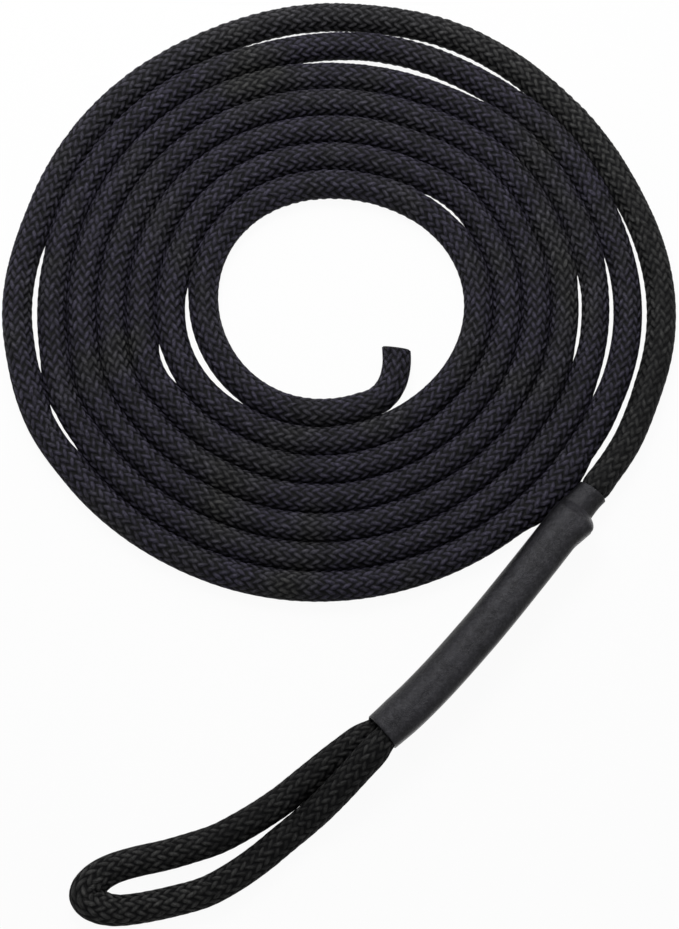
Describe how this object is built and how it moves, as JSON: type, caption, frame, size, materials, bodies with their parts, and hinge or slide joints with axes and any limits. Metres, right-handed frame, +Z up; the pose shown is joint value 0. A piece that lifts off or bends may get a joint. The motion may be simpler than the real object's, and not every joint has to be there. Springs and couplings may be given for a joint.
{
  "type": "training leash",
  "caption": "Black braided rope training leash laid in a flat spiral coil, with an eye at one end bound under a heat-shrunk sleeve and a plain heat-sealed free end.",
  "frame": {"origin": "middle of the footprint, on the ground the leash lies on", "axes": "+Z up from the ground, +Y from the eye toward the coil"},
  "size_m": [0.1972, 0.274, 0.0153],
  "materials": {
    "braid": "matte braided nylon",
    "yarn": "straight yarns",
    "melt": "melted yarn",
    "shrink": "matte shrunk tube",
    "twine": "waxed thread"
  },
  "bodies": {
    "root": {"free_end": "braid", "coil": "braid", "standing_part": "braid", "eye": "braid", "tail": "braid", "core": "yarn", "free_end_seal": "melt", "tail_seal": "melt", "sleeve": "shrink", "end_seizing": "twine", "throat_seizing": "twine"}
  },
  "joints": []
}
